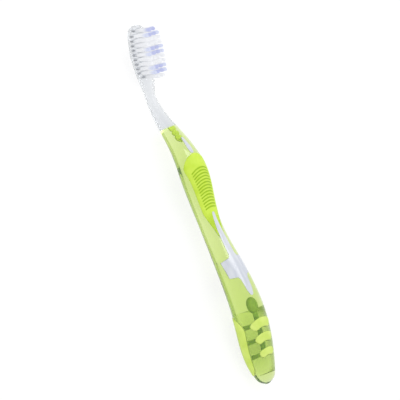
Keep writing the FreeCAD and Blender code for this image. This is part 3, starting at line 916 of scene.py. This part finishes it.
STRIP_RAMP = 8.0
STRIP_PROUD = 0.05
STRIP_THICK = 0.5
STRIP_BACK = SWELL + 9.0
STRIP_FRONT = THUMB - 20.5
STRIP = (
    (STRIP_BACK, 0.0),
    (STRIP_BACK + 0.5, 0.9),
    (STRIP_BACK + 3.0, 1.7),
    (WINDOW_AT - WINDOW_HALF_LENGTH - 1.0, 2.3),
    (WINDOW_AT - WINDOW_HALF_LENGTH, 3.0),
    (WINDOW_AT + WINDOW_HALF_LENGTH, 2.6),
    (WINDOW_AT + WINDOW_HALF_LENGTH + 1.0, 1.9),
    (STRIP_FRONT - 9.0, 1.3),
    (STRIP_FRONT - 0.6, 0.7),
    (STRIP_FRONT, 0.0),
)
SLIVER_BACK = THUMB + 9.3
SLIVER_FRONT = COLLAR - 6.6
SLIVER = (
    (SLIVER_BACK, 0.0),
    (SLIVER_BACK + 0.3, 0.9),
    (SLIVER_BACK + 3.0, 1.2),
    (SLIVER_FRONT - 0.4, 0.6),
    (SLIVER_FRONT, 0.0),
)


def build_strip(name, outline, rows):
    """A narrow strip that tapers off at both ends, and rises over the tail of the thumb grip."""
    columns = 21
    x = eased(rows, outline[0][0], outline[-1][0])[:, None]
    v = np.sin(np.linspace(-math.pi / 2, math.pi / 2, columns))[None, :]
    y = v * np.interp(x, [knot[0] for knot in outline], [knot[1] for knot in outline])
    x = np.broadcast_to(x, y.shape)
    pad_end = THUMB_CIRCLES[0][0] - THUMB_CIRCLES[0][1]
    ramp = np.where(x > THUMB, 0.0, np.clip((x - pad_end + STRIP_RAMP) / STRIP_RAMP, 0, 1))
    lift = GRIP_PROUD * ramp * ramp * (3 - 2 * ramp) + STRIP_PROUD
    top = front_point(x, y, lift)
    bottom = front_point(x, y, lift - STRIP_THICK)
    add_piece(name, mesh_from(name, *slab(top, bottom)), WINDOW, (), 50.0)


# Key behind the collar

KEY_LENGTH = 7.5
KEY_HALF = 1.5
KEY_TOOTH = 0.7
KEY_LIFT = 1.7
KEY_THICK = 1.2
KEY_AHEAD = 0.3
KEY_SETBACK = 0.4

# Levels through the key as shares of its thickness, and the share of its width there
KEY_LEVELS = ((-0.5, 0.85), (-0.38, 1.0), (0.38, 1.0), (0.5, 0.85))


def build_key():
    """The lime strip behind the collar, notched on both sides and pointed at its end."""
    side = [(-KEY_AHEAD, KEY_HALF)]
    for k in (1, 2):
        notch = k * KEY_LENGTH / 3
        side += [(notch - KEY_TOOTH, KEY_HALF), (notch, KEY_HALF - KEY_TOOTH)]
        side += [(notch + KEY_TOOTH, KEY_HALF)]
    side += [(KEY_LENGTH, KEY_HALF)]
    outline = side + [(KEY_LENGTH + KEY_HALF, 0.0)] + [(back, -y) for back, y in side[::-1]]
    rings = []
    for level, shrink in KEY_LEVELS:
        ring = []
        for back, y in outline:
            x = COLLAR - KEY_SETBACK - back
            ring.append((x, y * shrink, float(ring_height(x)) + KEY_LIFT + level * KEY_THICK))
        rings.append(ring)
    faces = tube_faces(len(rings), len(outline))
    add_piece("collar_key", mesh_from("collar_key", rings, faces), LIME_KEY, (), 30.0)


build_handle()
build_head()
build_tufts()
build_thumb_grip()
build_front_grip()
build_back_grip()
build_window()
build_strip("core_strip", STRIP, 160)
build_strip("core_sliver", SLIVER, 60)
build_key()
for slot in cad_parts["tuft_anchors"].material_slots:
    slot.material = METAL


# Floor, camera and light, in metres

FLOOR_HALF = 2.0
FLOOR_DROP = 0.0002
FLOOR_COLOUR = (0.86, 0.86, 0.86, 1)
FLOOR_SHADOW_COLOUR = (0.2, 0.2, 0.2, 1)
FLOOR_GLOW = 0.82


def build_floor():
    """A pale floor that is near white to the camera, in gloss and through glass, and keeps the shadow."""
    mesh = bpy.data.meshes.new("floor")
    low = cad_low.z - FLOOR_DROP
    corners = [(-FLOOR_HALF, -FLOOR_HALF, low), (FLOOR_HALF, -FLOOR_HALF, low)]
    corners += [(FLOOR_HALF, FLOOR_HALF, low), (-FLOOR_HALF, FLOOR_HALF, low)]
    mesh.from_pydata(corners, [], [(0, 1, 2, 3)])
    floor = bpy.data.objects.new("floor", mesh)
    bpy.context.collection.objects.link(floor)
    material = bpy.data.materials.new("pale_floor")
    material.use_nodes = True
    nodes = material.node_tree.nodes
    links = material.node_tree.links
    nodes.clear()
    output = nodes.new("ShaderNodeOutputMaterial")
    path = nodes.new("ShaderNodeLightPath")
    plain = nodes.new("ShaderNodeBsdfDiffuse")
    plain.inputs["Color"].default_value = FLOOR_COLOUR
    faint = nodes.new("ShaderNodeBsdfDiffuse")
    faint.inputs["Color"].default_value = FLOOR_SHADOW_COLOUR
    glow = nodes.new("ShaderNodeEmission")
    glow.inputs["Strength"].default_value = FLOOR_GLOW
    both = nodes.new("ShaderNodeAddShader")
    mix = nodes.new("ShaderNodeMixShader")
    seen = nodes.new("ShaderNodeMath")
    seen.operation = "MAXIMUM"
    through = nodes.new("ShaderNodeMath")
    through.operation = "MAXIMUM"
    links.new(path.outputs["Is Camera Ray"], seen.inputs[0])
    links.new(path.outputs["Is Glossy Ray"], seen.inputs[1])
    links.new(seen.outputs[0], through.inputs[0])
    links.new(path.outputs["Is Transmission Ray"], through.inputs[1])
    links.new(faint.outputs[0], both.inputs[0])
    links.new(glow.outputs[0], both.inputs[1])
    links.new(through.outputs[0], mix.inputs[0])
    links.new(plain.outputs[0], mix.inputs[1])
    links.new(both.outputs[0], mix.inputs[2])
    links.new(mix.outputs[0], output.inputs["Surface"])
    mesh.materials.append(material)


VIEW_RISE = math.radians(50.0)
VIEW_ROLL = math.radians(21.8)
VIEW_DISTANCE = 1.0
VIEW_TARGET = Vector((2.15, 0.0, 8.9)) * MM
VIEW_WIDTH = 194.0 * MM
LIGHT_RISE = math.radians(100.0)
LIGHT_ALONG = 0.4
LIGHT_LENGTH = 0.86
LIGHT_WIDTH = 0.4
LIGHT_ENERGY = 3.0
WORLD_STRENGTH = 0.9


def build_camera():
    """A camera at the photograph's angle, rolled as the brush leans there."""
    data = bpy.data.cameras.new("camera")
    camera = bpy.data.objects.new("camera", data)
    bpy.context.collection.objects.link(camera)
    toward = Vector((0, math.cos(VIEW_RISE), math.sin(VIEW_RISE)))
    right = Vector((0, -math.sin(VIEW_RISE), math.cos(VIEW_RISE)))
    along = Vector((1, 0, 0))
    up = along * math.cos(VIEW_ROLL) + right * math.sin(VIEW_ROLL)
    across = right * math.cos(VIEW_ROLL) - along * math.sin(VIEW_ROLL)
    place = VIEW_TARGET + toward * VIEW_DISTANCE
    rows = [(across[k], up[k], toward[k], place[k]) for k in range(3)]
    camera.matrix_world = Matrix(rows + [(0, 0, 0, 1)])
    data.angle = 2 * math.atan(VIEW_WIDTH / 2 / VIEW_DISTANCE)
    data.clip_start = 0.01
    bpy.context.scene.camera = camera


def build_light():
    """One softbox overhead and an even white world."""
    data = bpy.data.lights.new("softbox", "AREA")
    data.shape = "RECTANGLE"
    data.size = LIGHT_LENGTH
    data.size_y = LIGHT_WIDTH
    data.energy = LIGHT_ENERGY
    light = bpy.data.objects.new("softbox", data)
    bpy.context.collection.objects.link(light)
    place = Vector((LIGHT_ALONG, math.cos(LIGHT_RISE), math.sin(LIGHT_RISE)))
    light.location = place
    # Reflected in the plastic, but not seen through it
    light.visible_transmission = False
    light.rotation_mode = "QUATERNION"
    light.rotation_quaternion = place.to_track_quat("Z", "Y")
    world = bpy.data.worlds.new("studio")
    bpy.context.scene.world = world
    world.use_nodes = True
    background = world.node_tree.nodes["Background"]
    background.inputs["Color"].default_value = (1, 1, 1, 1)
    background.inputs["Strength"].default_value = WORLD_STRENGTH


build_floor()
build_camera()
build_light()
bpy.context.scene.view_settings.view_transform = "Standard"

bpy.context.view_layer.update()
